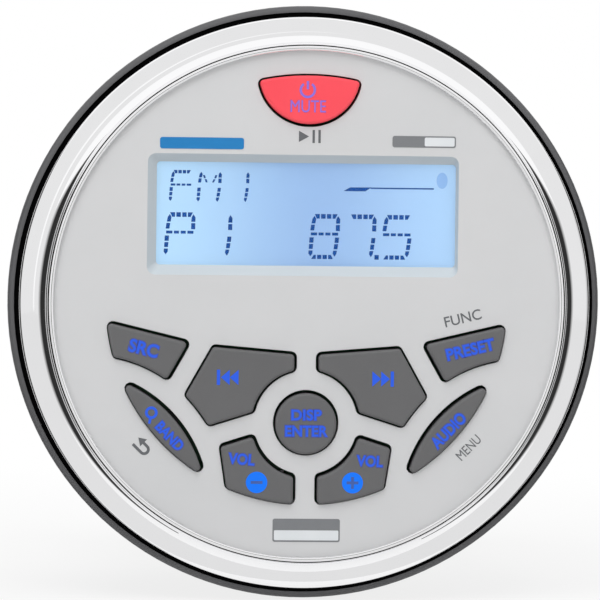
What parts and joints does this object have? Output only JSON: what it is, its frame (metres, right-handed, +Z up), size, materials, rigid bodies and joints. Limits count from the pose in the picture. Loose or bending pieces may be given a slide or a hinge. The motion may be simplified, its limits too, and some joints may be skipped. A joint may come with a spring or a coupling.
{
  "type": "marine stereo",
  "caption": "Round waterproof boat stereo for a gauge hole: chrome bezel, segment display, sprung rubber keys, finned back and a strap clamp on studs.",
  "frame": {"origin": "on the barrel's axis, in the plane of the gasket's rear face, which meets the dash panel", "axes": "+Z up the face, face towards -Y, +Y into the dash along the barrel, +X to the right as seen by the user"},
  "size_m": [0.102, 0.1091, 0.102],
  "materials": {
    "chrome": "polished chrome plating on a moulded ring",
    "satin_silver": "fine satin silver-grey paint",
    "clear_lens": "clear moulded lens",
    "display": "light blue backlit liquid crystal panel",
    "white_diffuser": "white moulded plastic",
    "key_rubber": "soft grey silicone rubber",
    "power_red": "red silicone rubber",
    "black_plastic": "fine-textured black moulding",
    "barrel_plastic": "black moulded can",
    "black_rubber": "black sealing rubber",
    "circuit_board": "green solder mask",
    "zinc_steel": "zinc-plated steel",
    "strap_steel": "plated strip steel",
    "tinned_steel": "tinned sheet can",
    "cast_cover": "black powder-coated casting",
    "black_anodised": "black anodised extrusion",
    "brass": "plain turned brass",
    "capacitor_sleeve": "dark blue shrink sleeve",
    "cable_grey": "grey flat cable"
  },
  "bodies": {
    "stereo": {"bezel_ring": "chrome", "fascia": "satin_silver", "window_lens": "clear_lens", "lcd_panel": "display", "light_guide": "white_diffuser", "lcd_holder": "white_diffuser", "keypad_mat": "key_rubber", "switch_bodies": "black_plastic", "key_leds": "white_diffuser", "front_board": "circuit_board", "front_board_screws": "zinc_steel", "face_seal": "black_rubber", "front_frame": "black_plastic", "frame_screws": "zinc_steel", "gasket": "black_rubber", "barrel": "barrel_plastic", "rear_seal": "black_rubber", "rear_cover": "cast_cover", "cover_screws": "zinc_steel", "heat_sink": "black_anodised", "heat_sink_screws": "zinc_steel", "power_grommet": "black_rubber", "signal_grommet": "black_rubber", "main_board": "circuit_board", "board_standoffs": "brass", "main_board_screws": "zinc_steel", "amplifier_chip": "black_plastic", "capacitors": "capacitor_sleeve", "tuner_module": "tinned_steel", "ribbon_cable": "cable_grey", "ribbon_sockets": "white_diffuser", "mounting_studs": "zinc_steel"},
    "power_button": {"power_key": "power_red", "power_plunger": "black_plastic"},
    "source_button": {"source_key": "key_rubber", "source_plunger": "black_plastic"},
    "preset_button": {"preset_key": "key_rubber", "preset_plunger": "black_plastic"},
    "previous_button": {"previous_key": "key_rubber", "previous_plunger": "black_plastic"},
    "next_button": {"next_key": "key_rubber", "next_plunger": "black_plastic"},
    "enter_button": {"enter_key": "key_rubber", "enter_plunger": "black_plastic"},
    "band_button": {"band_key": "key_rubber", "band_plunger": "black_plastic"},
    "audio_button": {"audio_key": "key_rubber", "audio_plunger": "black_plastic"},
    "volume_down_button": {"volume_down_key": "key_rubber", "volume_down_plunger": "black_plastic"},
    "volume_up_button": {"volume_up_key": "key_rubber", "volume_up_plunger": "black_plastic"},
    "clamp": {"clamp_bracket": "strap_steel", "stud_washers": "zinc_steel"},
    "left_thumb_nut": {"left_nut": "brass"},
    "right_thumb_nut": {"right_nut": "brass"}
  },
  "joints": [
    {"name": "power_press", "type": "slide", "parent": "stereo", "child": "power_button", "axis": [0, 1, 0], "range_m": [0, 0.0006], "stiffness_N_per_m": 2500},
    {"name": "source_press", "type": "slide", "parent": "stereo", "child": "source_button", "axis": [0, 1, 0], "range_m": [0, 0.0006], "stiffness_N_per_m": 2500},
    {"name": "preset_press", "type": "slide", "parent": "stereo", "child": "preset_button", "axis": [0, 1, 0], "range_m": [0, 0.0006], "stiffness_N_per_m": 2500},
    {"name": "previous_press", "type": "slide", "parent": "stereo", "child": "previous_button", "axis": [0, 1, 0], "range_m": [0, 0.0006], "stiffness_N_per_m": 2500},
    {"name": "next_press", "type": "slide", "parent": "stereo", "child": "next_button", "axis": [0, 1, 0], "range_m": [0, 0.0006], "stiffness_N_per_m": 2500},
    {"name": "enter_press", "type": "slide", "parent": "stereo", "child": "enter_button", "axis": [0, 1, 0], "range_m": [0, 0.0006], "stiffness_N_per_m": 2500},
    {"name": "band_press", "type": "slide", "parent": "stereo", "child": "band_button", "axis": [0, 1, 0], "range_m": [0, 0.0006], "stiffness_N_per_m": 2500},
    {"name": "audio_press", "type": "slide", "parent": "stereo", "child": "audio_button", "axis": [0, 1, 0], "range_m": [0, 0.0006], "stiffness_N_per_m": 2500},
    {"name": "volume_down_press", "type": "slide", "parent": "stereo", "child": "volume_down_button", "axis": [0, 1, 0], "range_m": [0, 0.0006], "stiffness_N_per_m": 2500},
    {"name": "volume_up_press", "type": "slide", "parent": "stereo", "child": "volume_up_button", "axis": [0, 1, 0], "range_m": [0, 0.0006], "stiffness_N_per_m": 2500},
    {"name": "clamp_slide", "type": "slide", "parent": "stereo", "child": "clamp", "axis": [0, 1, 0], "range_m": [-0.004, 0.008]},
    {"name": "left_nut_turn", "type": "hinge", "parent": "clamp", "child": "left_thumb_nut", "pos_m": [-0.031, 0.08, 0], "axis": [0, 1, 0], "range_deg": [-1800, 3600]},
    {"name": "right_nut_turn", "type": "hinge", "parent": "clamp", "child": "right_thumb_nut", "pos_m": [0.031, 0.08, 0], "axis": [0, 1, 0], "range_deg": [-1800, 3600]}
  ],
  "couplings": [
    {"joint": "left_nut_turn", "follows": "clamp_slide", "rad_per_m": 7853.9},
    {"joint": "right_nut_turn", "follows": "clamp_slide", "rad_per_m": 7853.9}
  ]
}
